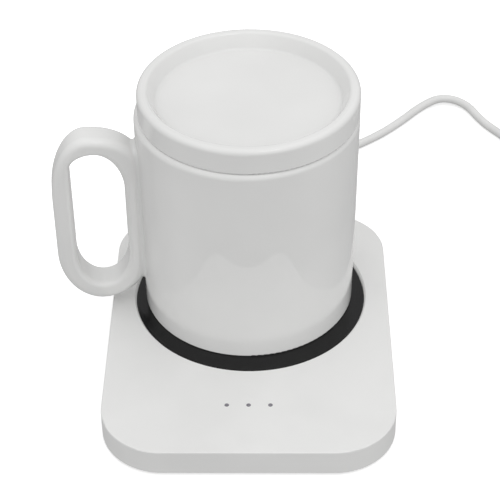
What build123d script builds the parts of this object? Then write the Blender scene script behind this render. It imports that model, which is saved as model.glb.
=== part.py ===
from build123d import *
from math import cos, pi, radians, sin, tan
import os

os.makedirs("parts", exist_ok=True)

# An electric mug warmer with the lidded porcelain mug that is sold with it.
# Millimetres. Origin: centre of the base on the table. +X right, +Y back, +Z up.

# ---------------------------------------------------------------- base
BASE_W = 110.0  # left to right
BASE_D = 140.8  # front to back
BASE_CORNER = 23.7  # plan radius of the corners
COVER_H = 10.5  # height of the white side
FOOT_STAND = 1.5  # the feet lift the covers this far off the table
WALL = 2.0
TOP_T = 2.0
FLOOR_T = 1.6
TOP_EDGE = 0.5  # rounding of the top edge
COVER_FIT = 0.15  # gap between the two covers
COVER_Z = FOOT_STAND
TOP_Z = COVER_Z + COVER_H
CEIL_Z = TOP_Z - TOP_T
FLOOR_Z = COVER_Z + FLOOR_T

# feet and the screws that they hide
FOOT_X, FOOT_Y = 42.0, 56.0
FOOT_R = 5.5
FOOT_SINK = 0.7
SCREW_HEAD_R, SCREW_HEAD_H = 2.5, 1.4
SCREW_R = 1.25
WELL_R, WELL_Z = 4.5, 5.3
SCREW_SEAT_Z = COVER_Z + FOOT_SINK + SCREW_HEAD_H
SCREW_END_Z = 9.0
BOSS_R = 3.0

# ---------------------------------------------------------------- heated plate
PLATE_Y = 18.9  # the plate sits towards the back
PLATE_R = 45.5
PLATE_T = 1.6
PLATE_GAP = 0.3
PLATE_DIP = 0.8  # the mug's weight presses the plate this far below the top
LIP_R = 46.4  # outer edge of the small bevel round the plate
FILM_R, FILM_T = 41.0, 0.25
PAD_T = 0.8
CARRIER_R, CARRIER_T = 46.6, 0.8
RIM_IN, RIM_OUT = 41.3, 45.3
LUG_R, LUG_W, LUG_H = 49.0, 10.0, 1.35
LUG_ANGLES = (30, 150, 270)
PLATE_TOP = TOP_Z - PLATE_DIP
PLATE_Z = PLATE_TOP - PLATE_T
FILM_Z = PLATE_Z - FILM_T
PAD_Z = FILM_Z - PAD_T
CARRIER_Z = PAD_Z - CARRIER_T
STOP_R, STOP_CIRCLE, STOP_GAP = 1.6, 44.0, 0.1
SPRING_R, SPRING_WIRE, SPRING_CIRCLE = 2.3, 0.22, 36.0
SPRING_TURNS = 3.5
SPRING_GAP = 0.05
SPRING_PIN_R, SPRING_PIN_H = 1.5, 1.2
SENSOR_X, SENSOR_Y, SENSOR_R = 12.0, 14.0, 1.3
FUSE_X, FUSE_W, FUSE_D, FUSE_H = -12.0, 6.0, 3.0, 1.4
PADS_X, PADS_Y = 16.0, -14.0  # where the heater's leads meet the film

# ---------------------------------------------------------------- electronics
BOARD_W, BOARD_T = 72.0, 1.0
BOARD_FRONT, BOARD_BACK = -65.0, -24.0
BOARD_Z = FLOOR_Z + 1.0
BOARD_TOP = BOARD_Z + BOARD_T
BOARD_HOLE_X = 32.0
BOARD_HOLES_Y = (-61.0, -28.0)
DOT_PITCH, DOTS_Y, DOT_R = 8.13, -45.8, 0.85
GUIDE_FIT = 0.05
TOUCH_Y = -61.0
TOUCH_POCKET_R, TOUCH_POCKET = 4.5, 0.8
SOCKET_X, SOCKET_Y, SOCKET_L, SOCKET_D, SOCKET_H = 14.0, -31.5, 10.0, 5.0, 2.9
SWITCH_Y = -27.8
SWITCH_SIDE, SWITCH_H = 4.5, 1.3
PLUNGER_R = 1.0
LEAD_Z = 6.6  # height at which the leads reach their sockets
LEAD_R = 0.65

# ---------------------------------------------------------------- cord
CORD_R = 1.9
EXIT_Z = 5.5  # height of the cord where it leaves the base
CORD_IN_Y = 56.0  # where the jacket ends inside the base
SLOT_R = 3.0
BOOT_L, BOOT_R, BOOT_TIP_R = 22.0, 3.6, 2.6
BOOT_GROOVES = 5
COIL_X, COIL_Y = 147.3, 135.0
COIL_R = 21.0  # middle of the turns
COIL_TURNS = 6.17
COIL_W, COIL_H = 11.4, 10.4
COIL_Z = 0.6  # the tie passes under the bundle
TIE_T = 0.6
TIE_TURN = 14  # degrees of the coil that the tie covers

# ---------------------------------------------------------------- USB plug
PLUG_BODY_W, PLUG_BODY_H, PLUG_BODY_L = 15.0, 8.0, 20.0
PLUG_NECK_L = 9.0
SHELL_W, SHELL_H, SHELL_L, SHELL_T = 12.0, 4.5, 12.0, 0.35

# ---------------------------------------------------------------- mug and lid
MUG_X, MUG_Y = -0.6, 23.05
MUG_H = 86.7
MUG_FOOT_R, MUG_RIM_R = 41.5, 42.3  # the wall opens out a little upwards
MUG_WALL = 3.8
MUG_FLOOR = 5.0
MUG_FOOT_EDGE = 0.8
MUG_Z = PLATE_TOP
SEAM_Z = MUG_Z + MUG_H
LID_X = MUG_X + 0.75  # the lid lies a little to one side in its loose fit
LID_R, LID_H = 41.5, 10.1
LID_FIT = 0.02
LID_RIM = 3.7  # width of the rim's crest
DISH_DEPTH, DISH_R = 5.7, 34.4
SKIRT_R, SKIRT_IN, SKIRT_DROP = 37.0, 33.6, 5.5

# handle, in its own upright plane through the mug's axis: s is the distance from the axis
HANDLE_TURN = 7.3  # degrees from -X towards the front
HANDLE_W = 12.0
HANDLE_IN, HANDLE_OUT = 41.0, 74.9
HANDLE_TOP, HANDLE_BOTTOM = 92.7, 16.0
HANDLE_CREST, HANDLE_KEEL = 60.8, 57.8  # s of its highest and lowest point
CREST_OUT, CREST_IN = 27.3, 13.7  # heights of the oval corners beside them
KEEL_OUT, KEEL_IN = 23.3, 16.5
HANDLE_EDGE, HOLE_EDGE = 3.0, 2.0  # rounding of the strap's outer and inner edges
HANDLE_ROOT = 1.2  # hollow rounding where the handle grows out of the wall
HOLE_IN, HOLE_OUT = 47.2, 67.45
HOLE_TOP, HOLE_BOTTOM = 85.6, 23.8
HOLE_CREST, HOLE_KEEL = 58.75, 56.95
HOLE_CREST_OUT, HOLE_CREST_IN = 6.0, 17.6
HOLE_KEEL_OUT, HOLE_KEEL_IN = 15.2, 13.8


def base_outline(inset):
    """The base's rounded plan, drawn inset from its edge, in the sketch that is open."""
    RectangleRounded(BASE_W - 2 * inset, BASE_D - 2 * inset, BASE_CORNER - inset)


def tangent_radii(points):
    """For each corner of a route, the largest arc that its two runs allow."""
    radii = []
    for before, here, after in zip(points, points[1:], points[2:]):
        run_in, run_out = Vector(here) - Vector(before), Vector(after) - Vector(here)
        half_turn = radians(run_in.get_angle(run_out)) / 2
        radii.append(0.45 * min(run_in.length, run_out.length) / tan(half_turn))
    return radii


def section_at(points):
    """The plane square to a route at its first point."""
    return Plane(origin=points[0], z_dir=Vector(points[1]) - Vector(points[0]))


# ================================================================ housing
with BuildPart() as top_cover:
    with BuildSketch(Plane.XY.offset(COVER_Z)):
        base_outline(0)
    extrude(amount=COVER_H)
    fillet(top_cover.faces().sort_by(Axis.Z)[-1].edges(), TOP_EDGE)
    with BuildSketch(Plane.XY.offset(COVER_Z)):
        base_outline(WALL)
    extrude(amount=COVER_H - TOP_T, mode=Mode.SUBTRACT)
    # round opening for the plate, with its soft bevel
    with BuildSketch(Plane.XY.offset(CEIL_Z)):
        with Locations((0, PLATE_Y)):
            Circle(PLATE_R + PLATE_GAP)
    extrude(amount=TOP_T, mode=Mode.SUBTRACT)
    with Locations((0, PLATE_Y, TOP_Z - PLATE_DIP / 2)):
        Cone(PLATE_R + PLATE_GAP, LIP_R, PLATE_DIP, mode=Mode.SUBTRACT)
    # screw bosses under the top
    with BuildSketch(Plane.XY.offset(WELL_Z)):
        with GridLocations(2 * FOOT_X, 2 * FOOT_Y, 2, 2):
            Circle(BOSS_R)
            Circle(SCREW_R, mode=Mode.SUBTRACT)
    extrude(amount=CEIL_Z - WELL_Z)
    # holes for the indicator dots, and the thin place over the touch spring
    with BuildSketch(Plane.XY.offset(CEIL_Z)):
        with Locations((0, DOTS_Y)):
            with GridLocations(DOT_PITCH, 1, 3, 1):
                Circle(DOT_R + GUIDE_FIT)
    extrude(amount=TOP_T, mode=Mode.SUBTRACT)
    with BuildSketch(Plane.XY.offset(CEIL_Z)):
        with Locations((0, TOUCH_Y)):
            Circle(TOUCH_POCKET_R)
    extrude(amount=TOUCH_POCKET, mode=Mode.SUBTRACT)
    # slot in the back wall for the cord's boot, open downwards
    with BuildSketch(Plane.XZ.offset(-BASE_D / 2)):
        with Locations((0, EXIT_Z)):
            Circle(SLOT_R)
        with Locations((0, (COVER_Z + EXIT_Z) / 2)):
            Rectangle(2 * SLOT_R, EXIT_Z - COVER_Z)
    extrude(amount=WALL, mode=Mode.SUBTRACT)
top_cover.part.label = "top_cover"
export_step(top_cover.part, "parts/top_cover.step")

with BuildPart() as bottom_cover:
    with BuildSketch(Plane.XY.offset(COVER_Z)):
        base_outline(WALL + COVER_FIT)
    extrude(amount=FLOOR_T)
    with BuildSketch(Plane.XY.offset(FLOOR_Z)):
        with GridLocations(2 * FOOT_X, 2 * FOOT_Y, 2, 2):
            Circle(WELL_R)
    extrude(amount=WELL_Z - STOP_GAP - FLOOR_Z)
    # posts under the circuit board, pins inside the springs, and stops under the plate carrier
    with BuildSketch(Plane.XY.offset(FLOOR_Z)):
        for hole_y in BOARD_HOLES_Y:
            with Locations((-BOARD_HOLE_X, hole_y), (BOARD_HOLE_X, hole_y)):
                Circle(2.2)
    extrude(amount=BOARD_Z - FLOOR_Z)
    with BuildSketch(Plane.XY.offset(FLOOR_Z)):
        with Locations((0, PLATE_Y)):
            with PolarLocations(SPRING_CIRCLE, 4, start_angle=45):
                Circle(SPRING_PIN_R)
    extrude(amount=SPRING_PIN_H)
    with BuildSketch(Plane.XY.offset(FLOOR_Z)):
        with Locations((0, PLATE_Y)):
            with PolarLocations(STOP_CIRCLE, 6):
                Circle(STOP_R)
    extrude(amount=CARRIER_Z - STOP_GAP - FLOOR_Z)
    # three pegs that the cord is threaded between, so that a pull on it ends here
    with BuildSketch(Plane.XY.offset(FLOOR_Z)):
        with Locations((3.0, 63.5), (-3.0, 60.5), (3.0, 57.5)):
            Circle(1.0)
    extrude(amount=EXIT_Z + 1.6 - FLOOR_Z)
    # sinks for the feet, seats for the screw heads, and the screw holes
    with BuildSketch(Plane.XY.offset(COVER_Z)):
        with GridLocations(2 * FOOT_X, 2 * FOOT_Y, 2, 2):
            Circle(FOOT_R + 0.1)
    extrude(amount=FOOT_SINK, mode=Mode.SUBTRACT)
    with BuildSketch(Plane.XY.offset(COVER_Z)):
        with GridLocations(2 * FOOT_X, 2 * FOOT_Y, 2, 2):
            Circle(SCREW_HEAD_R + 0.3)
    extrude(amount=SCREW_SEAT_Z - COVER_Z, mode=Mode.SUBTRACT)
    with BuildSketch(Plane.XY.offset(COVER_Z)):
        with GridLocations(2 * FOOT_X, 2 * FOOT_Y, 2, 2):
            Circle(SCREW_R + 0.2)
    extrude(amount=WELL_Z - COVER_Z, mode=Mode.SUBTRACT)
    with BuildSketch(Plane.XY.offset(BOARD_Z)):
        for hole_y in BOARD_HOLES_Y:
            with Locations((-BOARD_HOLE_X, hole_y), (BOARD_HOLE_X, hole_y)):
                Circle(0.8)
    extrude(amount=-2.1, mode=Mode.SUBTRACT)
bottom_cover.part.label = "bottom_cover"
export_step(bottom_cover.part, "parts/bottom_cover.step")

with BuildPart() as cover_screws:
    with BuildSketch(Plane.XY.offset(SCREW_SEAT_Z - SCREW_HEAD_H)):
        with GridLocations(2 * FOOT_X, 2 * FOOT_Y, 2, 2):
            Circle(SCREW_HEAD_R)
    extrude(amount=SCREW_HEAD_H)
    with BuildSketch(Plane.XY.offset(SCREW_SEAT_Z)):
        with GridLocations(2 * FOOT_X, 2 * FOOT_Y, 2, 2):
            Circle(SCREW_R)
    extrude(amount=SCREW_END_Z - SCREW_SEAT_Z)
    with BuildSketch(Plane.XY.offset(SCREW_SEAT_Z - SCREW_HEAD_H)):
        with GridLocations(2 * FOOT_X, 2 * FOOT_Y, 2, 2):
            Rectangle(3.0, 0.7)
            Rectangle(0.7, 3.0)
    extrude(amount=0.7, mode=Mode.SUBTRACT)
cover_screws.part.label = "cover_screws"
export_step(cover_screws.part, "parts/cover_screws.step")

with BuildPart() as rubber_feet:
    with BuildSketch():
        with GridLocations(2 * FOOT_X, 2 * FOOT_Y, 2, 2):
            Circle(FOOT_R)
    extrude(amount=FOOT_STAND + FOOT_SINK)
    fillet(rubber_feet.edges().group_by(Axis.Z)[0], 0.4)
rubber_feet.part.label = "rubber_feet"
export_step(rubber_feet.part, "parts/rubber_feet.step")

# ================================================================ heated plate and what it rides on
with BuildPart() as hot_plate:
    with BuildSketch(Plane.XY.offset(PLATE_Z)):
        with Locations((0, PLATE_Y)):
            Circle(PLATE_R)
    extrude(amount=PLATE_T)
    fillet(hot_plate.edges().group_by(Axis.Z)[-1], 0.35)
hot_plate.part.label = "hot_plate"
export_step(hot_plate.part, "parts/hot_plate.step")

with BuildPart() as heating_film:
    with BuildSketch(Plane.XY.offset(FILM_Z)):
        with Locations((0, PLATE_Y)):
            Circle(FILM_R)
    extrude(amount=FILM_T)
heating_film.part.label = "heating_film"
export_step(heating_film.part, "parts/heating_film.step")

with BuildPart() as insulation_pad:
    with BuildSketch(Plane.XY.offset(PAD_Z)):
        with Locations((0, PLATE_Y)):
            Circle(FILM_R)
        with Locations((SENSOR_X, SENSOR_Y)):
            Circle(SENSOR_R + 0.3, mode=Mode.SUBTRACT)
        with Locations((FUSE_X, PLATE_Y)):
            Rectangle(FUSE_W + 1, FUSE_D + 1, mode=Mode.SUBTRACT)
        with Locations((PADS_X, PADS_Y)):
            Circle(2.5, mode=Mode.SUBTRACT)
    extrude(amount=PAD_T)
insulation_pad.part.label = "insulation_pad"
export_step(insulation_pad.part, "parts/insulation_pad.step")

with BuildPart() as plate_carrier:
    with BuildSketch(Plane.XY.offset(CARRIER_Z)):
        with Locations((0, PLATE_Y)):
            Circle(CARRIER_R)
    extrude(amount=CARRIER_T)
    with BuildSketch(Plane.XY.offset(CARRIER_Z)):
        with Locations((0, PLATE_Y)):
            Circle(RIM_OUT)
            Circle(RIM_IN, mode=Mode.SUBTRACT)
    extrude(amount=PLATE_Z - CARRIER_Z)
    # three lugs that catch under the top cover when the plate springs up
    with BuildSketch(Plane.XY.offset(CARRIER_Z)):
        for lug_angle in LUG_ANGLES:
            with Locations((0, PLATE_Y)):
                with PolarLocations((LUG_R + RIM_OUT) / 2 - 1, 1, start_angle=lug_angle):
                    Rectangle(LUG_R - RIM_OUT + 2, LUG_W)
    extrude(amount=LUG_H)
    # openings for the sensor, the fuse and the heater's leads
    with BuildSketch(Plane.XY.offset(CARRIER_Z)):
        with Locations((SENSOR_X, SENSOR_Y)):
            Circle(SENSOR_R + 0.3)
        with Locations((FUSE_X, PLATE_Y)):
            Rectangle(FUSE_W + 7, FUSE_D + 1)
        with Locations((PADS_X, PADS_Y)):
            Circle(2.5)
    extrude(amount=CARRIER_T, mode=Mode.SUBTRACT)
plate_carrier.part.label = "plate_carrier"
export_step(plate_carrier.part, "parts/plate_carrier.step")

with BuildPart() as temperature_sensor:
    with BuildSketch(Plane.XY.offset(CARRIER_Z + 0.2)):
        with Locations((SENSOR_X, SENSOR_Y)):
            Circle(SENSOR_R)
    extrude(amount=FILM_Z - CARRIER_Z - 0.2)
    fillet(temperature_sensor.edges().group_by(Axis.Z)[0], 0.5)
temperature_sensor.part.label = "temperature_sensor"
export_step(temperature_sensor.part, "parts/temperature_sensor.step")

with BuildPart() as thermal_fuse:
    with BuildSketch(Plane.XY.offset(FILM_Z - FUSE_H)):
        with Locations((FUSE_X, PLATE_Y)):
            Rectangle(FUSE_W, FUSE_D)
    extrude(amount=FUSE_H)
    chamfer(thermal_fuse.edges().filter_by(Axis.Z), 0.4)
    with BuildSketch(Plane.YZ.offset(FUSE_X - FUSE_W / 2 - 3)):
        with Locations((PLATE_Y, FILM_Z - FUSE_H + 0.3)):
            Circle(0.3)
    extrude(amount=FUSE_W + 6)
thermal_fuse.part.label = "thermal_fuse"
export_step(thermal_fuse.part, "parts/thermal_fuse.step")

SPRING_H = CARRIER_Z - FLOOR_Z - 2 * SPRING_WIRE - 2 * SPRING_GAP
SPRING_Z = FLOOR_Z + SPRING_WIRE + SPRING_GAP
with BuildPart() as plate_springs:
    for spring_angle in (45, 135, 225, 315):
        spring_x = SPRING_CIRCLE * cos(radians(spring_angle))
        spring_y = PLATE_Y + SPRING_CIRCLE * sin(radians(spring_angle))
        with BuildLine():
            coils = Helix(SPRING_H / SPRING_TURNS, SPRING_H, SPRING_R, center=(spring_x, spring_y, SPRING_Z))
        with BuildSketch(Plane(origin=coils @ 0, z_dir=coils % 0)):
            Circle(SPRING_WIRE)
        sweep(path=coils, is_frenet=True)
plate_springs.part.label = "plate_springs"
export_step(plate_springs.part, "parts/plate_springs.step")

# ================================================================ electronics
with BuildPart() as circuit_board:
    with BuildSketch(Plane.XY.offset(BOARD_Z)):
        with Locations((0, (BOARD_FRONT + BOARD_BACK) / 2)):
            RectangleRounded(BOARD_W, BOARD_BACK - BOARD_FRONT, 2.0)
        for hole_y in BOARD_HOLES_Y:
            with Locations((-BOARD_HOLE_X, hole_y), (BOARD_HOLE_X, hole_y)):
                Circle(1.1, mode=Mode.SUBTRACT)
    extrude(amount=BOARD_T)
circuit_board.part.label = "circuit_board"
export_step(circuit_board.part, "parts/circuit_board.step")

with BuildPart() as board_screws:
    for hole_y in BOARD_HOLES_Y:
        with BuildSketch(Plane.XY.offset(BOARD_TOP)):
            with Locations((-BOARD_HOLE_X, hole_y), (BOARD_HOLE_X, hole_y)):
                Circle(1.8)
        extrude(amount=1.0)
        with BuildSketch(Plane.XY.offset(BOARD_TOP)):
            with Locations((-BOARD_HOLE_X, hole_y), (BOARD_HOLE_X, hole_y)):
                Circle(0.8)
        extrude(amount=-2.9)
        with BuildSketch(Plane.XY.offset(BOARD_TOP + 1.0)):
            with Locations((-BOARD_HOLE_X, hole_y), (BOARD_HOLE_X, hole_y)):
                Rectangle(2.2, 0.5)
                Rectangle(0.5, 2.2)
        extrude(amount=-0.5, mode=Mode.SUBTRACT)
board_screws.part.label = "board_screws"
export_step(board_screws.part, "parts/board_screws.step")

with BuildPart() as controller_chip:
    with BuildSketch(Plane.XY.offset(BOARD_TOP + 0.15)):
        with Locations((-17, -53)):
            Rectangle(8.7, 3.9)
    extrude(amount=1.4)
    with BuildSketch(Plane.XY.offset(BOARD_TOP)):
        with Locations((-17, -53)):
            with GridLocations(1.27, 5.0, 7, 2):
                Rectangle(0.4, 1.2)
    extrude(amount=0.5)
controller_chip.part.label = "controller_chip"
export_step(controller_chip.part, "parts/controller_chip.step")

with BuildPart() as power_transistor:
    with BuildSketch(Plane.XY.offset(BOARD_TOP)):
        with Locations((20, -53)):
            Rectangle(6.5, 6.1)
    extrude(amount=2.3)
    with BuildSketch(Plane.XY.offset(BOARD_TOP)):
        with Locations((20, -49.2)):
            Rectangle(5.2, 1.6)
        with Locations((17.7, -57.3), (22.3, -57.3)):
            Rectangle(0.8, 2.6)
    extrude(amount=0.5)
power_transistor.part.label = "power_transistor"
export_step(power_transistor.part, "parts/power_transistor.step")

with BuildPart() as filter_capacitor:
    with BuildSketch(Plane.XY.offset(BOARD_TOP)):
        with Locations((27, -40)):
            Rectangle(4.3, 7.3)
    extrude(amount=2.8)
    chamfer(filter_capacitor.edges().group_by(Axis.Z)[-1], 0.3)
filter_capacitor.part.label = "filter_capacitor"
export_step(filter_capacitor.part, "parts/filter_capacitor.step")

with BuildPart() as lead_sockets:
    with BuildSketch(Plane.XY.offset(BOARD_TOP)):
        with Locations((-SOCKET_X, SOCKET_Y), (SOCKET_X, SOCKET_Y)):
            Rectangle(SOCKET_L, SOCKET_D)
    extrude(amount=SOCKET_H)
    chamfer(lead_sockets.edges().group_by(Axis.Z)[-1], 0.3)
lead_sockets.part.label = "lead_sockets"
export_step(lead_sockets.part, "parts/lead_sockets.step")

with BuildPart() as indicator_leds:
    with BuildSketch(Plane.XY.offset(BOARD_TOP)):
        with Locations((0, DOTS_Y)):
            with GridLocations(DOT_PITCH, 1, 3, 1):
                Rectangle(2.0, 1.25)
    extrude(amount=0.8)
indicator_leds.part.label = "indicator_leds"
export_step(indicator_leds.part, "parts/indicator_leds.step")

with BuildPart() as light_shield:
    with BuildSketch(Plane.XY.offset(BOARD_TOP)):
        with Locations((0, DOTS_Y)):
            Rectangle(22, 5)
            with GridLocations(DOT_PITCH, 1, 3, 1):
                Circle(1.5, mode=Mode.SUBTRACT)
    extrude(amount=3.0)
light_shield.part.label = "light_shield"
export_step(light_shield.part, "parts/light_shield.step")

GUIDE_BAR_T = 1.1
with BuildPart() as light_guide:
    with BuildSketch(Plane.XY.offset(CEIL_Z - GUIDE_BAR_T)):
        with Locations((0, DOTS_Y)):
            RectangleRounded(21, 4, 1)
    extrude(amount=GUIDE_BAR_T)
    with BuildSketch(Plane.XY.offset(CEIL_Z)):
        with Locations((0, DOTS_Y)):
            with GridLocations(DOT_PITCH, 1, 3, 1):
                Circle(DOT_R)
    extrude(amount=TOP_T)
    with BuildSketch(Plane.XY.offset(CEIL_Z - GUIDE_BAR_T)):
        with Locations((0, DOTS_Y)):
            with GridLocations(DOT_PITCH, 1, 3, 1):
                Circle(1.2)
    extrude(amount=-2.4)
light_guide.part.label = "light_guide"
export_step(light_guide.part, "parts/light_guide.step")

TOUCH_H = CEIL_Z + TOUCH_POCKET - BOARD_TOP - 0.6
with BuildPart() as touch_spring:
    with BuildLine():
        touch_coils = Helix(TOUCH_H / 5, TOUCH_H, 2.6, center=(0, TOUCH_Y, BOARD_TOP + 0.3))
    with BuildSketch(Plane(origin=touch_coils @ 0, z_dir=touch_coils % 0)):
        Circle(0.25)
    sweep(path=touch_coils, is_frenet=True)
touch_spring.part.label = "touch_spring"
export_step(touch_spring.part, "parts/touch_spring.step")

with BuildPart() as pressure_switch:
    with BuildSketch(Plane.XY.offset(BOARD_TOP)):
        with Locations((0, SWITCH_Y)):
            Rectangle(SWITCH_SIDE, SWITCH_SIDE)
    extrude(amount=SWITCH_H)
    with BuildSketch(Plane.XY.offset(BOARD_TOP)):
        with Locations((0, SWITCH_Y)):
            with GridLocations(SWITCH_SIDE + 1, 3.0, 2, 2):
                Rectangle(1.2, 0.7)
    extrude(amount=0.3)
    with BuildSketch(Plane.XY.offset(BOARD_TOP + SWITCH_H)):
        with Locations((0, SWITCH_Y)):
            Circle(PLUNGER_R + 0.06)
    extrude(amount=-(SWITCH_H - 0.1), mode=Mode.SUBTRACT)
pressure_switch.part.label = "pressure_switch"
export_step(pressure_switch.part, "parts/pressure_switch.step")

with BuildPart() as switch_plunger:
    with BuildSketch(Plane.XY.offset(BOARD_TOP + 0.2)):
        with Locations((0, SWITCH_Y)):
            Circle(PLUNGER_R)
    extrude(amount=CARRIER_Z - 0.05 - BOARD_TOP - 0.2)
    fillet(switch_plunger.edges().group_by(Axis.Z)[-1], 0.4)
switch_plunger.part.label = "switch_plunger"
export_step(switch_plunger.part, "parts/switch_plunger.step")

# ================================================================ leads inside the base
SOCKET_BACK = SOCKET_Y + SOCKET_D / 2
with BuildPart() as sensor_leads:
    for lead_x in (SENSOR_X - 0.75, SENSOR_X + 0.75):
        with BuildLine(Plane.YZ.offset(lead_x)) as sensor_path:
            FilletPolyline(
                (SENSOR_Y, CARRIER_Z + 0.2),
                (SENSOR_Y, LEAD_Z - 1.0),
                (SOCKET_BACK + 8, LEAD_Z - 1.0),
                (SOCKET_BACK + 5, LEAD_Z),
                (SOCKET_BACK, LEAD_Z),
                radius=0.6,
            )
        with BuildSketch(Plane(origin=sensor_path.line @ 0, z_dir=sensor_path.line % 0)):
            Circle(0.45)
        sweep(path=sensor_path.line)
sensor_leads.part.label = "sensor_leads"
export_step(sensor_leads.part, "parts/sensor_leads.step")

with BuildPart() as heater_leads:
    for lead_x in (PADS_X - 0.9, PADS_X + 0.9):
        with BuildLine(Plane.YZ.offset(lead_x)) as heater_path:
            FilletPolyline(
                (PADS_Y, FILM_Z),
                (PADS_Y, LEAD_Z - 0.9),
                (SOCKET_BACK + 8, LEAD_Z - 0.9),
                (SOCKET_BACK + 5, LEAD_Z),
                (SOCKET_BACK, LEAD_Z),
                radius=1.0,
            )
        with BuildSketch(Plane(origin=heater_path.line @ 0, z_dir=heater_path.line % 0)):
            Circle(LEAD_R)
        sweep(path=heater_path.line)
heater_leads.part.label = "heater_leads"
export_step(heater_leads.part, "parts/heater_leads.step")

POWER_LOW_Z = FLOOR_Z + LEAD_R + 0.2
with BuildPart() as power_leads:
    for side in (-1, 1):
        lead_x = -SOCKET_X + side
        power_route = [
            (0.9 * side, CORD_IN_Y, EXIT_Z),
            (0.9 * side, CORD_IN_Y - 5, EXIT_Z),
            (0.9 * side - 3, 43, POWER_LOW_Z),
            (lead_x, 27, POWER_LOW_Z),
            (lead_x, -14, POWER_LOW_Z),
            (lead_x, SOCKET_BACK + 4, LEAD_Z),
            (lead_x, SOCKET_BACK, LEAD_Z),
        ]
        with BuildLine() as power_path:
            FilletPolyline(*power_route, radius=2.0)
        with BuildSketch(section_at(power_route)):
            Circle(LEAD_R)
        sweep(path=power_path.line)
power_leads.part.label = "power_leads"
export_step(power_leads.part, "parts/power_leads.step")

# ================================================================ cord
# The boot: an inner flange, a neck that fills the slot, and a tapered grooved sleeve outside.
with BuildPart() as strain_relief:
    with BuildSketch(Plane.XZ.offset(-BASE_D / 2 + WALL + COVER_FIT / 2)):
        with Locations((0, EXIT_Z + 0.2)):
            RectangleRounded(9.0, 5.0, 1.0)
    extrude(amount=1.8)
    with BuildSketch(Plane.XZ.offset(-BASE_D / 2)):
        with Locations((0, EXIT_Z)):
            Circle(SLOT_R - 0.05)
        with Locations((0, (COVER_Z + EXIT_Z) / 2)):
            Rectangle(2 * SLOT_R - 0.1, EXIT_Z - COVER_Z)
    extrude(amount=WALL + COVER_FIT / 2)
    with BuildSketch(Plane.XZ.offset(-BASE_D / 2)):
        with Locations((0, EXIT_Z)):
            Circle(BOOT_R)
    with BuildSketch(Plane.XZ.offset(-BASE_D / 2 - BOOT_L)):
        with Locations((0, EXIT_Z)):
            Circle(BOOT_TIP_R)
    loft()
    for groove in range(BOOT_GROOVES):
        groove_y = BASE_D / 2 + 3.5 + 3.4 * groove
        with BuildSketch(Plane.XZ.offset(-groove_y)):
            with Locations((0, EXIT_Z)):
                Circle(BOOT_R + 1)
                Circle(CORD_R + 0.55, mode=Mode.SUBTRACT)
        extrude(amount=-1.2, mode=Mode.SUBTRACT)
    with BuildSketch(Plane.XZ.offset(-BASE_D / 2 - BOOT_L)):
        with Locations((0, EXIT_Z)):
            Circle(CORD_R)
    extrude(amount=BOOT_L + WALL + 4, mode=Mode.SUBTRACT)
strain_relief.part.label = "strain_relief"
export_step(strain_relief.part, "parts/strain_relief.step")

# The cord's end inside the boot and the base.
BOOT_END_Y = BASE_D / 2 + BOOT_L
with BuildPart() as cord_inner_end:
    with BuildSketch(Plane.XZ.offset(-CORD_IN_Y)):
        with Locations((0, EXIT_Z)):
            Circle(CORD_R)
    extrude(amount=-(BOOT_END_Y - CORD_IN_Y))
cord_inner_end.part.label = "cord_inner_end"
export_step(cord_inner_end.part, "parts/cord_inner_end.step")

# The free cord, from the boot to the coil: down to the table, round to the right and back,
# over one tight bend, and away to the front right.
CORD_ROUTE = [
    (0.0, BOOT_END_Y, EXIT_Z),
    (0.0, 100.6, EXIT_Z),
    (2.4, 111.2, 3.4),
    (10.8, 120.0, CORD_R),
    (23.0, 126.0, CORD_R),
    (40.9, 129.2, CORD_R),
    (57.0, 140.8, CORD_R),
    (68.6, 152.5, CORD_R),
    (79.6, 165.8, CORD_R),
    (89.7, 172.8, CORD_R),
    (101.2, 168.9, CORD_R),
    (107.1, 152.9, CORD_R),
    (114.2, 143.3, CORD_R),
    (119.9, 136.4, CORD_R),
    (123.4, 129.3, CORD_R),
]
cord_radii = tangent_radii(CORD_ROUTE)
with BuildPart() as cord_lead:
    with BuildLine() as cord_path:
        FilletPolyline(*CORD_ROUTE, radius=cord_radii)
    with BuildSketch(section_at(CORD_ROUTE)):
        Circle(CORD_R)
    sweep(path=cord_path.line)
cord_lead.part.label = "cord_lead"
export_step(cord_lead.part, "parts/cord_lead.step")

# The rest of the cord, wound into a bundle a little over six times.
with BuildPart() as cord_coil:
    with BuildSketch(Plane.XZ.offset(-COIL_Y)):
        with Locations((COIL_X + COIL_R, COIL_Z + COIL_H / 2)):
            RectangleRounded(COIL_W, COIL_H, 4.4)
    revolve(axis=Axis((COIL_X, COIL_Y, 0), (0, 0, 1)))
cord_coil.part.label = "cord_coil"
export_step(cord_coil.part, "parts/cord_coil.step")

# A soft tie that holds the turns together.
with BuildPart() as cord_tie:
    with BuildSketch(Plane.XZ.offset(-COIL_Y)):
        with Locations((COIL_X + COIL_R, COIL_Z + COIL_H / 2)):
            RectangleRounded(COIL_W + 2 * TIE_T, COIL_H + 2 * TIE_T, 4.4 + TIE_T)
            RectangleRounded(COIL_W, COIL_H, 4.4, mode=Mode.SUBTRACT)
    revolve(axis=Axis((COIL_X, COIL_Y, 0), (0, 0, 1)), revolution_arc=TIE_TURN)
cord_tie.part.label = "cord_tie"
export_step(cord_tie.part, "parts/cord_tie.step")

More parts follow.
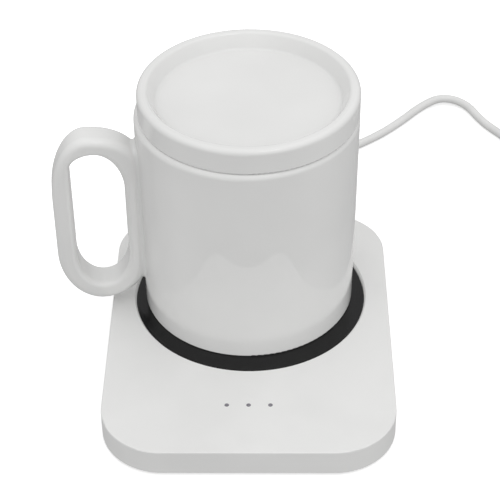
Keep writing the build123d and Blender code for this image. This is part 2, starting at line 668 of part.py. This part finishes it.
# The tail from the coil to the plug, which lies beside it.
PLUG_TURN = 76.0  # heading of the plug on the table, degrees from +X
PLUG_AT = Vector(184.6, 133.0, PLUG_BODY_H / 2)  # where the cord enters the plug
plug_way = Vector(cos(radians(PLUG_TURN)), sin(radians(PLUG_TURN)), 0)
plug_side = Vector(sin(radians(PLUG_TURN)), -cos(radians(PLUG_TURN)), 0)
TAIL_ROUTE = [
    (157.4, 109.6, 4.8),
    (166.3, 111.2, 3.4),
    (174.6, 115.6, 2.6),
    (180.0, 121.8, 3.4),
    tuple(PLUG_AT - plug_way * 6),
    tuple(PLUG_AT),
]
tail_radii = tangent_radii(TAIL_ROUTE)
with BuildPart() as cord_tail:
    with BuildLine() as tail_path:
        FilletPolyline(*TAIL_ROUTE, radius=tail_radii)
    with BuildSketch(section_at(TAIL_ROUTE)):
        Circle(CORD_R)
    sweep(path=tail_path.line)
cord_tail.part.label = "cord_tail"
export_step(cord_tail.part, "parts/cord_tail.step")

# ================================================================ USB plug
def plug_plane(along):
    """The plane square to the plug at a distance along it from where the cord enters."""
    return Plane(origin=PLUG_AT + plug_way * along, x_dir=plug_side, z_dir=plug_way)


PLUG_MOUTH = PLUG_NECK_L + PLUG_BODY_L + SHELL_L
with BuildPart() as plug_body:
    with BuildSketch(plug_plane(PLUG_NECK_L)):
        RectangleRounded(PLUG_BODY_W, PLUG_BODY_H, 2.2)
    extrude(amount=PLUG_BODY_L)
    fillet(plug_body.faces().sort_by(Axis(PLUG_AT, plug_way))[-1].edges(), 0.6)
    fillet(plug_body.faces().sort_by(Axis(PLUG_AT, plug_way))[0].edges(), 1.2)
    with BuildSketch(plug_plane(0)):
        Circle(CORD_R + 0.5)
    with BuildSketch(plug_plane(PLUG_NECK_L + 0.5)):
        Circle(3.3)
    loft()
plug_body.part.label = "plug_body"
export_step(plug_body.part, "parts/plug_body.step")

with BuildPart() as plug_shell:
    with BuildSketch(plug_plane(PLUG_MOUTH - SHELL_L)):
        RectangleRounded(SHELL_W, SHELL_H, 0.5)
        RectangleRounded(SHELL_W - 2 * SHELL_T, SHELL_H - 2 * SHELL_T, 0.2, mode=Mode.SUBTRACT)
    extrude(amount=SHELL_L)
    # the two square latch windows through its upper and lower face
    with BuildSketch(Plane(origin=PLUG_AT + plug_way * (PLUG_MOUTH - 6.3), x_dir=plug_way)):
        with GridLocations(1, 5.2, 1, 2):
            Rectangle(2.5, 2.0)
    extrude(amount=SHELL_H, both=True, mode=Mode.SUBTRACT)
plug_shell.part.label = "plug_shell"
export_step(plug_shell.part, "parts/plug_shell.step")

TONGUE_T = 1.9
with BuildPart() as plug_tongue:
    with BuildSketch(plug_plane(PLUG_MOUTH - SHELL_L)):
        with Locations((0, -SHELL_H / 2 + SHELL_T + TONGUE_T / 2)):
            Rectangle(SHELL_W - 2 * SHELL_T - 0.1, TONGUE_T - 0.1)
    extrude(amount=SHELL_L - 0.4)
plug_tongue.part.label = "plug_tongue"
export_step(plug_tongue.part, "parts/plug_tongue.step")

with BuildPart() as plug_contacts:
    with BuildSketch(plug_plane(PLUG_MOUTH - SHELL_L + 0.5)):
        with Locations((0, -SHELL_H / 2 + SHELL_T + TONGUE_T + 0.05)):
            with GridLocations(2.3, 1, 4, 1):
                Rectangle(1.0, 0.2)
    extrude(amount=SHELL_L - 2.5)
plug_contacts.part.label = "plug_contacts"
export_step(plug_contacts.part, "parts/plug_contacts.step")

# ================================================================ mug
handle_turn = radians(HANDLE_TURN)
HANDLE_PLANE = Plane(
    origin=(MUG_X, MUG_Y, 0),
    x_dir=(-cos(handle_turn), -sin(handle_turn), 0),
    z_dir=(-sin(handle_turn), cos(handle_turn), 0),
)


def oval_ring(inner, outer, low, high, crest, keel, crest_in, crest_out, keel_in, keel_out):
    """An upright loop of four quarter ellipses and two straight sides, in the line that is open."""
    EllipticalCenterArc((crest, high - crest_out), outer - crest, crest_out, 0, arc_size=90)
    EllipticalCenterArc((crest, high - crest_in), crest - inner, crest_in, 90, arc_size=90)
    Line((inner, high - crest_in), (inner, low + keel_in))
    EllipticalCenterArc((keel, low + keel_in), keel - inner, keel_in, 180, arc_size=90)
    EllipticalCenterArc((keel, low + keel_out), outer - keel, keel_out, 270, arc_size=90)
    Line((outer, low + keel_out), (outer, high - crest_out))


with BuildPart() as handle_ring:
    with BuildSketch(HANDLE_PLANE):
        with BuildLine():
            oval_ring(
                HANDLE_IN,
                HANDLE_OUT,
                HANDLE_BOTTOM,
                HANDLE_TOP,
                HANDLE_CREST,
                HANDLE_KEEL,
                CREST_IN,
                CREST_OUT,
                KEEL_IN,
                KEEL_OUT,
            )
        make_face()
        with BuildLine():
            oval_ring(
                HOLE_IN,
                HOLE_OUT,
                HOLE_BOTTOM,
                HOLE_TOP,
                HOLE_CREST,
                HOLE_KEEL,
                HOLE_CREST_IN,
                HOLE_CREST_OUT,
                HOLE_KEEL_IN,
                HOLE_KEEL_OUT,
            )
        make_face(mode=Mode.SUBTRACT)
    extrude(amount=HANDLE_W / 2, both=True)
    strap_sides = handle_ring.faces().filter_by(Axis((0, 0, 0), HANDLE_PLANE.z_dir))
    fillet([edge for side in strap_sides for edge in side.outer_wire().edges()], HANDLE_EDGE)
    strap_sides = handle_ring.faces().filter_by(Axis((0, 0, 0), HANDLE_PLANE.z_dir))
    hole_rims = [rim for side in strap_sides for rim in side.inner_wires()]
    fillet([edge for rim in hole_rims for edge in rim.edges()], HOLE_EDGE)

with BuildPart() as mug:
    with BuildSketch(Plane.XZ.offset(-MUG_Y)) as mug_half:
        with BuildLine():
            Polyline(
                (MUG_X, MUG_Z),
                (MUG_X + MUG_FOOT_R, MUG_Z),
                (MUG_X + MUG_RIM_R, SEAM_Z),
                (MUG_X, SEAM_Z),
                close=True,
            )
        make_face()
        fillet(mug_half.vertices().sort_by_distance((MUG_X + MUG_FOOT_R, MUG_Z, 0))[0], MUG_FOOT_EDGE)
    revolve(axis=Axis((MUG_X, MUG_Y, 0), (0, 0, 1)))
    add(handle_ring.part)
    fillet(mug.edges(Select.NEW), HANDLE_ROOT)
    with BuildSketch(Plane.XZ.offset(-MUG_Y)) as cavity_half:
        with BuildLine():
            Polyline(
                (MUG_X, MUG_Z + MUG_FLOOR),
                (MUG_X + MUG_FOOT_R - MUG_WALL - 0.3, MUG_Z + MUG_FLOOR),
                (MUG_X + MUG_RIM_R - MUG_WALL, SEAM_Z + 1),
                (MUG_X, SEAM_Z + 1),
                close=True,
            )
        make_face()
        fillet(cavity_half.vertices().group_by(Axis.Y)[0].sort_by(Axis.X)[-1], 7.0)
    revolve(axis=Axis((MUG_X, MUG_Y, 0), (0, 0, 1)), mode=Mode.SUBTRACT)
    rim_inside, rim_outside = mug.edges().group_by(Axis.Z)[-1].sort_by(SortBy.RADIUS)
    fillet(rim_inside, 1.0)
    rim_outside = mug.edges().group_by(Axis.Z)[-1].sort_by(SortBy.RADIUS)[-1]
    fillet(rim_outside, 2.4)
    with BuildSketch(Plane.XY.offset(MUG_Z)):
        with Locations((MUG_X, MUG_Y)):
            Circle(36)
    extrude(amount=0.6, mode=Mode.SUBTRACT)
mug.part.label = "mug"
export_step(mug.part, "parts/mug.step")

# ================================================================ lid
LID_Z = SEAM_Z + LID_FIT
LID_TOP = LID_Z + LID_H
LID_RIM_IN = LID_R - LID_RIM  # inner edge of the rim's crest
with BuildPart() as mug_lid:
    with BuildSketch(Plane.XZ.offset(-MUG_Y)) as lid_half:
        with BuildLine():
            Polyline(
                (LID_X, LID_TOP - DISH_DEPTH),
                (LID_X + DISH_R, LID_TOP - DISH_DEPTH),
                (LID_X + LID_RIM_IN, LID_TOP),
                (LID_X + LID_R, LID_TOP),
                (LID_X + LID_R, LID_Z),
                (LID_X + SKIRT_R, LID_Z),
                (LID_X + SKIRT_R, LID_Z - SKIRT_DROP),
                (LID_X + SKIRT_IN, LID_Z - SKIRT_DROP),
                (LID_X + SKIRT_IN, LID_Z + 0.9),
                (LID_X, LID_Z + 0.9),
                close=True,
            )
        make_face()
        for corner, rounding in (
            ((LID_X + DISH_R, LID_TOP - DISH_DEPTH), 1.6),
            ((LID_X + LID_RIM_IN, LID_TOP), 1.4),
            ((LID_X + LID_R, LID_TOP), 2.0),
            ((LID_X + LID_R, LID_Z), 0.7),
            ((LID_X + SKIRT_R, LID_Z - SKIRT_DROP), 0.8),
            ((LID_X + SKIRT_IN, LID_Z - SKIRT_DROP), 0.8),
            ((LID_X + SKIRT_IN, LID_Z + 0.9), 2.0),
        ):
            fillet(lid_half.vertices().sort_by_distance((corner[0], corner[1], 0))[0], rounding)
    revolve(axis=Axis((LID_X, MUG_Y, 0), (0, 0, 1)))
mug_lid.part.label = "mug_lid"
export_step(mug_lid.part, "parts/mug_lid.step")

# ================================================================ what was made
cord_run = cord_path.wires()[0].length
tail_run = tail_path.wires()[0].length
coil_run = COIL_TURNS * 2 * pi * COIL_R
print("cord radii", [round(r, 1) for r in cord_radii])
print("tail radii", [round(r, 1) for r in tail_radii])
print("cord volume over section x length", cord_lead.part.volume / (pi * CORD_R**2 * cord_run))
print("tail volume over section x length", cord_tail.part.volume / (pi * CORD_R**2 * tail_run))
print("cord length outside the base", round(cord_run + coil_run + tail_run), "mm")
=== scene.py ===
from math import cos, pi, radians, sin

import bpy
from mathutils import Matrix, Vector


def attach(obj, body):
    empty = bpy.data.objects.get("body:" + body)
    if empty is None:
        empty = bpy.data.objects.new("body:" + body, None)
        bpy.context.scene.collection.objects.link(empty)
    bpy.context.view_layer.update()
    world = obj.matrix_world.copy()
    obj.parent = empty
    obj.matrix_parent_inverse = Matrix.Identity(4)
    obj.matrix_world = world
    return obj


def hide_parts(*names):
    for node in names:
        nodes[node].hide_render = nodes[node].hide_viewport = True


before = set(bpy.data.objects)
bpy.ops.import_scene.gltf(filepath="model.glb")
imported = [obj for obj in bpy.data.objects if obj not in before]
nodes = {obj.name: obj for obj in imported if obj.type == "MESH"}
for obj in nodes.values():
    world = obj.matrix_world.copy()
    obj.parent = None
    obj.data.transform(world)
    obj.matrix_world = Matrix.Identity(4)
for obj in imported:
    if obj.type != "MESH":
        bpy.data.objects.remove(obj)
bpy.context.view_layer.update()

# A white mug warmer: a flat ABS base with a sunk black hot plate, a glazed porcelain mug with a
# ring handle, its dished lid, and a thin low-voltage lead. Metres, in the CAD frame.

MM = 0.001

# ------------------------------------------------------------------ camera
CAMERA_AT = Vector((8.9, -485.2, 441.5)) * MM
CAMERA_DOWN = radians(38.956)
CAMERA_YAW = radians(1.003)
CAMERA_ROLL = radians(-0.676)
CAMERA_LENS, SENSOR = 118.35, 36.0  # mm
CAMERA_NEAR = 0.05


def make_camera():
    data = bpy.data.cameras.new("camera")
    data.lens = CAMERA_LENS
    data.sensor_width = SENSOR
    data.clip_start = CAMERA_NEAR
    camera = bpy.data.objects.new("camera", data)
    tilt = Matrix.Rotation(pi / 2 - CAMERA_DOWN, 4, "X")
    turn = Matrix.Rotation(CAMERA_YAW, 4, "Z")
    roll = Matrix.Rotation(CAMERA_ROLL, 4, "Z")
    camera.matrix_world = Matrix.Translation(CAMERA_AT) @ turn @ tilt @ roll
    bpy.context.scene.collection.objects.link(camera)
    bpy.context.scene.camera = camera


make_camera()

# ------------------------------------------------------------------ cord route, in mm
CORD_R = 1.9
BOOT_END_Y, EXIT_Z = 92.4, 5.5
LEAD_POINTS = [
    (0.0, BOOT_END_Y, EXIT_Z),
    (0.0, 100.6, EXIT_Z),
    (2.4, 111.2, 3.4),
    (10.8, 120.0, CORD_R),
    (23.0, 126.8, CORD_R),
    (40.9, 130.4, CORD_R),
    (57.0, 141.9, CORD_R),
    (68.6, 153.6, CORD_R),
    (79.6, 166.8, CORD_R + 0.3),
    (89.7, 173.2, CORD_R + 1.4),
    (101.0, 169.6, CORD_R + 0.3),
    (107.3, 154.3, CORD_R),
    (114.6, 144.4, CORD_R),
    (119.9, 136.4, CORD_R),
    (123.4, 129.3, CORD_R),
]
COIL_X, COIL_Y = 147.3, 135.0
COIL_R = 21.0  # middle of the bundle
COIL_Z = 0.6  # the tie passes under the bundle
COIL_START, COIL_END = 212.5, 272.0  # degrees round the coil, from +X
COIL_STEPS = 16  # control points in a turn
LANE_CHANGE = 0.2  # the last part of each turn, where the cord moves to its next lane
# The lanes of the bundle, from the first turn to the last: out from the middle, and layer.
LANES = [(1, 0), (-1, 0), (0, 1), (-2, 1), (-1, 2), (1, 2), (2, 1)]
PLUG_TURN = radians(76.0)
PLUG_AT = Vector((184.6, 133.0, 4.0))  # where the cord enters the plug
PLUG_WAY = Vector((cos(PLUG_TURN), sin(PLUG_TURN), 0.0))
TAIL_POINTS = [
    (157.4, 109.6, 4.8),
    (166.3, 111.2, 3.4),
    (174.6, 115.6, 2.6),
    (180.0, 121.8, 3.4),
    tuple(PLUG_AT - PLUG_WAY * 6),
    tuple(PLUG_AT),
]


def coil_points():
    """The turns of the coil: each keeps to its lane and moves to the next as it closes."""
    rise = CORD_R * 2 * cos(radians(30))
    reach = 1 / cos(pi / COIL_STEPS)  # control points stand outside the curve that they make
    steps = round((len(LANES) - 1) * COIL_STEPS + (COIL_END - COIL_START) / 360 * COIL_STEPS)
    points = []
    for step in range(steps + 1):
        turn, part = divmod(step / COIL_STEPS, 1)
        lane, later = LANES[int(turn)], LANES[min(int(turn) + 1, len(LANES) - 1)]
        shift = max(0.0, (part - 1 + LANE_CHANGE) / LANE_CHANGE)
        out = lane[0] + (later[0] - lane[0]) * shift
        layer = lane[1] + (later[1] - lane[1]) * shift
        angle = radians(COIL_START + 360 * step / COIL_STEPS)
        radius = (COIL_R + CORD_R * out) * reach
        height = COIL_Z + CORD_R + rise * layer
        points.append((COIL_X + radius * cos(angle), COIL_Y + radius * sin(angle), height))
    return points


def make_cord():
    points = LEAD_POINTS + coil_points() + TAIL_POINTS
    data = bpy.data.curves.new("cord", "CURVE")
    data.dimensions = "3D"
    spline = data.splines.new("NURBS")
    spline.points.add(len(points) - 1)
    for target, point in zip(spline.points, points):
        target.co = (*(Vector(point) * MM), 1.0)
        target.radius = CORD_R * MM  # the curve's bounds grow by this, so it holds the real size
    spline.order_u = 3
    spline.use_endpoint_u = True
    data.resolution_u = 8
    data.bevel_depth = 1.0
    data.bevel_resolution = 5
    data.use_fill_caps = True
    cord = bpy.data.objects.new("cord", data)
    bpy.context.scene.collection.objects.link(cord)
    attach(cord, "base")
    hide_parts("cord_lead", "cord_coil", "cord_tail")
    return cord


cord = make_cord()

# ------------------------------------------------------------------ node helpers


def linear(hex_code):
    """An sRGB hex colour as linear RGBA."""
    channels = [int(hex_code[i : i + 2], 16) / 255 for i in (1, 3, 5)]
    return (*[c / 12.92 if c <= 0.04045 else ((c + 0.055) / 1.055) ** 2.4 for c in channels], 1.0)


def add(owner, kind, links=None, **settings):
    """Adds a node to a material or world; links maps its sockets to values or to other nodes' outputs."""
    node = owner.node_tree.nodes.new(kind)
    for name, value in settings.items():
        setattr(node, name, value)
    for socket, value in (links or {}).items():
        if isinstance(value, bpy.types.NodeSocket):
            owner.node_tree.links.new(value, node.inputs[socket])
        else:
            node.inputs[socket].default_value = value
    return node


def start(name, **sockets):
    """A new material with its shader; the keywords set sockets, spelt with underscores."""
    material = bpy.data.materials.new(name)
    material.use_nodes = True
    shader = material.node_tree.nodes["Principled BSDF"]
    for socket, value in sockets.items():
        shader.inputs[socket.replace("_", " ")].default_value = value
    return material, shader


def per_mm(size):
    """The scale of a pattern whose cells are size millimetres across."""
    return 1 / (size * MM)


def place(material):
    return add(material, "ShaderNodeTexCoord").outputs["Object"]


def noise(material, size, detail=2.0, roughness=0.5):
    links = {"Vector": place(material), "Scale": per_mm(size), "Detail": detail, "Roughness": roughness}
    return add(material, "ShaderNodeTexNoise", links).outputs["Fac"]


def tinted(material, shader, low, high, pattern, spread=(0.35, 0.65)):
    """Colours the shader from low to high along a pattern."""
    ramp = add(material, "ShaderNodeValToRGB", {"Fac": pattern})
    ramp.color_ramp.elements[0].position, ramp.color_ramp.elements[1].position = spread
    ramp.color_ramp.elements[0].color, ramp.color_ramp.elements[1].color = linear(low), linear(high)
    material.node_tree.links.new(ramp.outputs["Color"], shader.inputs["Base Color"])


def shine(material, shader, low, high, pattern):
    """Varies the shader's roughness from low to high along a pattern."""
    links = {"Value": pattern, "From Min": 0.3, "From Max": 0.7, "To Min": low, "To Max": high}
    spread = add(material, "ShaderNodeMapRange", links)
    material.node_tree.links.new(spread.outputs["Result"], shader.inputs["Roughness"])


def relief(material, shader, pattern, height, strength=1.0, under=None):
    """Adds a bump height millimetres deep, on top of another bump if there is one."""
    links = {"Height": pattern, "Distance": height * MM, "Strength": strength}
    if under is not None:
        links["Normal"] = under
    bump = add(material, "ShaderNodeBump", links)
    material.node_tree.links.new(bump.outputs["Normal"], shader.inputs["Normal"])
    return bump.outputs["Normal"]


# ------------------------------------------------------------------ materials


def moulded_abs():
    """Moulded white ABS with a fine spark-eroded texture: a satin face with soft reflections."""
    material, shader = start("moulded_white_abs", Roughness=0.4, IOR=1.53)
    tinted(material, shader, "#E1E1E0", "#E5E5E4", noise(material, 30.0))
    shine(material, shader, 0.36, 0.44, noise(material, 14.0))
    relief(material, shader, noise(material, 0.35, detail=3.0), 0.012, 0.5)
    return material


def glazed_porcelain():
    """White porcelain under a clear fired glaze: soft body, mirror-like skin, faint waviness."""
    material, shader = start(
        "glazed_porcelain",
        Roughness=0.3,
        IOR=1.5,
        Specular_IOR_Level=0.1,
        Coat_Weight=1.0,
        Coat_Roughness=0.03,
        Coat_IOR=1.5,
    )
    tinted(material, shader, "#E1E1E0", "#E5E5E4", noise(material, 40.0))
    shine(material, shader, 0.28, 0.34, noise(material, 20.0))
    relief(material, shader, noise(material, 16.0, detail=1.0), 0.03, 0.4)
    return material


def baked_plate():
    """Aluminium with a baked black non-stick coat: fine orange peel, a broad grey sheen."""
    material, shader = start("baked_black_coat", Roughness=0.15, IOR=1.5, Specular_IOR_Level=0.29)
    tinted(material, shader, "#0A0A0B", "#0E0E0F", noise(material, 12.0))
    shine(material, shader, 0.12, 0.18, noise(material, 6.0))
    relief(material, shader, noise(material, 0.5, detail=2.0), 0.01, 0.5)
    return material


def cord_jacket(name, low, high):
    """Extruded thermoplastic elastomer: matt-satin, very slightly uneven along its run."""
    material, shader = start(name, Roughness=0.42, IOR=1.5)
    tinted(material, shader, low, high, noise(material, 9.0))
    shine(material, shader, 0.38, 0.48, noise(material, 4.0))
    relief(material, shader, noise(material, 0.6, detail=2.0), 0.015, 0.5)
    return material


def moulded(name, low, high, roughness, grain=0.4):
    """An injection-moulded plastic or rubber with a fine grain of the given size in mm."""
    material, shader = start(name, Roughness=roughness, IOR=1.5)
    tinted(material, shader, low, high, noise(material, 8.0))
    shine(material, shader, roughness - 0.04, roughness + 0.04, noise(material, 5.0))
    relief(material, shader, noise(material, grain, detail=3.0), 0.012, 0.5)
    return material


def metal(name, low, high, roughness, grain=0.15):
    """A plated or bare metal with fine tool or rolling marks."""
    material, shader = start(name, Roughness=roughness, Metallic=1.0)
    tinted(material, shader, low, high, noise(material, 3.0))
    shine(material, shader, roughness - 0.05, roughness + 0.05, noise(material, 1.5))
    relief(material, shader, noise(material, grain, detail=3.0), 0.004, 0.4)
    return material


def clear_acrylic():
    """Smoked clear acrylic: unlit, the ends of the light guide look dark grey in the white top."""
    material, shader = start("smoked_acrylic", Roughness=0.12, IOR=1.49)
    tinted(material, shader, "#77757C", "#85838A", noise(material, 1.2))
    return material


def solder_mask():
    """A glass-epoxy board under green solder mask: darker where there is no copper below."""
    material, shader = start("solder_mask", Roughness=0.3, IOR=1.55)
    weave = add(
        material,
        "ShaderNodeTexBrick",
        {"Vector": place(material), "Scale": per_mm(4.0), "Mortar Size": 0.12},
    )
    tinted(material, shader, "#0E4A2A", "#1B6B3E", weave.outputs["Fac"], (0.2, 0.8))
    relief(material, shader, weave.outputs["Fac"], 0.02)
    return material


def felt():
    """Pressed ceramic-fibre felt: matt, with a short loose fibre on the surface."""
    material, shader = start("fibre_felt", Roughness=0.95, Sheen_Weight=0.3, Sheen_Roughness=0.5)
    tinted(material, shader, "#B5B3AC", "#D2D0C9", noise(material, 0.8, detail=5.0, roughness=0.7))
    relief(material, shader, noise(material, 0.5, detail=5.0, roughness=0.7), 0.15)
    return material


def hook_and_loop():
    """A woven nylon tie with a brushed loop face: matt and slightly hairy."""
    material, shader = start("woven_nylon_tie", Roughness=0.85, Sheen_Weight=0.4, Sheen_Roughness=0.4)
    threads = add(
        material,
        "ShaderNodeTexVoronoi",
        {"Vector": place(material), "Scale": per_mm(0.5), "Randomness": 0.4},
    )
    tinted(material, shader, "#E4E4E2", "#F2F2F0", threads.outputs["Distance"], (0.1, 0.7))
    relief(material, shader, threads.outputs["Distance"], 0.12)
    return material


def polyimide():
    """Amber polyimide film with a printed silver heating track running round under it."""
    material, shader = start("polyimide_film", Roughness=0.25, IOR=1.65)
    tracks = add(
        material,
        "ShaderNodeTexWave",
        {"Vector": place(material), "Scale": per_mm(25.0), "Distortion": 1.5},
        wave_type="RINGS",
        rings_direction="Z",
    )
    tinted(material, shader, "#8A4E12", "#C98A35", tracks.outputs["Fac"], (0.45, 0.55))
    relief(material, shader, tracks.outputs["Fac"], 0.03)
    return material


FINISHES = {
    moulded_abs(): ["top_cover", "bottom_cover"],
    glazed_porcelain(): ["mug", "mug_lid"],
    baked_plate(): ["hot_plate"],
    moulded("black_nylon", "#151516", "#1D1D1E", 0.55): [
        "plate_carrier",
        "light_shield",
        "switch_plunger",
    ],
    cord_jacket("cord_jacket", "#DCDCDB", "#E0E0DF"): ["cord_inner_end", "strain_relief"],
    moulded("plug_overmould", "#E0E0DF", "#E4E4E3", 0.36): ["plug_body"],
    moulded("plug_tongue", "#EFEFEE", "#F4F4F3", 0.3): ["plug_tongue"],
    metal("nickel_plated_steel", "#C9C9C8", "#D6D6D5", 0.22): ["plug_shell"],
    metal("gold_plate", "#D8B25A", "#E4C270", 0.2): ["plug_contacts"],
    metal("zinc_plated_steel", "#B9BBBD", "#C9CBCD", 0.32): ["cover_screws", "board_screws"],
    metal("spring_steel", "#A9AAAB", "#BDBEBF", 0.28): ["plate_springs", "touch_spring"],
    moulded("silicone_rubber_feet", "#C9C9C8", "#D2D2D1", 0.6): ["rubber_feet"],
    hook_and_loop(): ["cord_tie"],
    clear_acrylic(): ["light_guide"],
    solder_mask(): ["circuit_board"],
    moulded("black_epoxy", "#131313", "#1C1C1C", 0.5, 0.2): [
        "controller_chip",
        "power_transistor",
        "pressure_switch",
    ],
    moulded("tantalum_case", "#B98A3A", "#C99B49", 0.5, 0.3): ["filter_capacitor"],
    moulded("nylon_socket", "#E8E4D8", "#EFECE2", 0.45): ["lead_sockets"],
    moulded("led_lens", "#E9E4B8", "#F3EFCB", 0.2): ["indicator_leds"],
    moulded("silicone_lead", "#B8342B", "#C7443A", 0.45): ["power_leads", "heater_leads"],
    moulded("ptfe_lead", "#E6E6E2", "#F0F0EC", 0.4): ["sensor_leads"],
    polyimide(): ["heating_film"],
    felt(): ["insulation_pad"],
    moulded("glass_bead", "#4A2414", "#5C3020", 0.12): ["temperature_sensor"],
    metal("fuse_case", "#C4C4C2", "#D2D2D0", 0.3): ["thermal_fuse"],
}


def dress(obj, material):
    obj.data.materials.clear()
    obj.data.materials.append(material)


for material, names in FINISHES.items():
    for name in names:
        dress(nodes[name], material)
dress(cord, bpy.data.materials["cord_jacket"])


CRISP = radians(32.0)  # edges sharper than this stay crisp


def smooth(obj):
    obj.data.shade_smooth()
    obj.data.set_sharp_from_angle(angle=CRISP)


for node in nodes.values():
    smooth(node)

# ------------------------------------------------------------------ bounced light
# The black plate takes no bounced light from the foot of the mug, so the glaze stays even there.
BOUNCE_LIGHT = ["top_cover", "mug", "mug_lid"]
for name, node in nodes.items():
    node.visible_diffuse = name in BOUNCE_LIGHT

# ------------------------------------------------------------------ floor and light

FLOOR_HALF = 3.0
FLOOR_GLOW = 0.35  # keeps the pale floor even, so that it has only faint shadows


def make_floor():
    mesh = bpy.data.meshes.new("floor")
    corners = [(-1, -1), (1, -1), (1, 1), (-1, 1)]
    mesh.from_pydata([(x * FLOOR_HALF, y * FLOOR_HALF, 0) for x, y in corners], [], [(0, 1, 2, 3)])
    floor = bpy.data.objects.new("floor", mesh)
    bpy.context.scene.collection.objects.link(floor)
    material, shader = start("pale_floor", Roughness=0.9, Base_Color=linear("#FBFBFB"))
    shader.inputs["Emission Color"].default_value = linear("#FFFFFF")
    shader.inputs["Emission Strength"].default_value = FLOOR_GLOW
    mesh.materials.append(material)
    # the floor is a pale backdrop: the object is lit from below by the dimmer room instead
    floor.visible_glossy = False
    floor.visible_diffuse = False


KEY_AT, KEY_TARGET = Vector((0.4, -0.7, 1.3)), Vector((0.0, 0.02, 0.04))
KEY_SIDE, KEY_POWER = 0.35, 0.8


def make_key():
    data = bpy.data.lights.new("key", "AREA")
    data.shape = "RECTANGLE"
    data.size, data.size_y = KEY_SIDE, KEY_SIDE
    data.energy = KEY_POWER
    light = bpy.data.objects.new("key", data)
    light.location = KEY_AT
    light.rotation_euler = (KEY_TARGET - KEY_AT).to_track_quat("-Z", "Y").to_euler()
    bpy.context.scene.collection.objects.link(light)


SKY, UNDERSKY = 0.68, 0.52  # brightness of the room above and below the horizon
HORIZON = 0.1  # how far above and below the horizon the two blend
BANK, BANK_WAY, BANK_FALL = 0.68, (0.08, -0.36, 0.93), 2.0  # the big soft bank of light above
MIRRORED_FRONT, MIRRORED_SIDE = 0.02, 0.50  # what the glaze mirrors from below, in front and round it
FRONT_Y, SIDE_Y = -0.75, -0.15  # the directions that count as front and side
BACKDROP = 1.0  # past the floor's edge the room is as white as the floor


def make_world():
    """A soft white room with a broad bank of light; the glaze mirrors a darker table below."""
    world = bpy.data.worlds.new("studio")
    world.use_nodes = True
    way = add(world, "ShaderNodeTexCoord").outputs["Generated"]
    parts = add(world, "ShaderNodeSeparateXYZ", {"Vector": way}).outputs
    horizon = {"Value": parts["Z"], "From Min": -HORIZON, "From Max": HORIZON}
    lit = add(world, "ShaderNodeMapRange", horizon | {"To Min": UNDERSKY, "To Max": SKY})
    links = {"Value": parts["Y"], "From Min": FRONT_Y, "From Max": SIDE_Y}
    links |= {"To Min": MIRRORED_FRONT, "To Max": MIRRORED_SIDE}
    below = add(world, "ShaderNodeMapRange", links, interpolation_type="SMOOTHSTEP")
    links = horizon | {"To Min": below.outputs["Result"], "To Max": SKY}
    seen = add(world, "ShaderNodeMapRange", links)
    ray = add(world, "ShaderNodeLightPath").outputs
    links = {0: ray["Is Glossy Ray"], 2: lit.outputs["Result"], 3: seen.outputs["Result"]}
    room = add(world, "ShaderNodeMix", links).outputs[0]
    facing = add(world, "ShaderNodeVectorMath", {0: way, 1: BANK_WAY}, operation="DOT_PRODUCT")
    lobe = {0: facing.outputs["Value"], 1: 0.0}
    lobe = add(world, "ShaderNodeMath", lobe, operation="MAXIMUM").outputs[0]
    lobe = add(world, "ShaderNodeMath", {0: lobe, 1: BANK_FALL}, operation="POWER").outputs[0]
    links = {0: lobe, 1: BANK, 2: room}
    strength = add(world, "ShaderNodeMath", links, operation="MULTIPLY_ADD").outputs[0]
    links = {0: ray["Is Camera Ray"], 2: strength, 3: BACKDROP}
    strength = add(world, "ShaderNodeMix", links).outputs[0]
    background = world.node_tree.nodes["Background"]
    background.inputs["Color"].default_value = linear("#FFFFFF")
    world.node_tree.links.new(strength, background.inputs["Strength"])
    bpy.context.scene.world = world
    bpy.context.scene.view_settings.view_transform = "Standard"


make_floor()
make_world()
make_key()
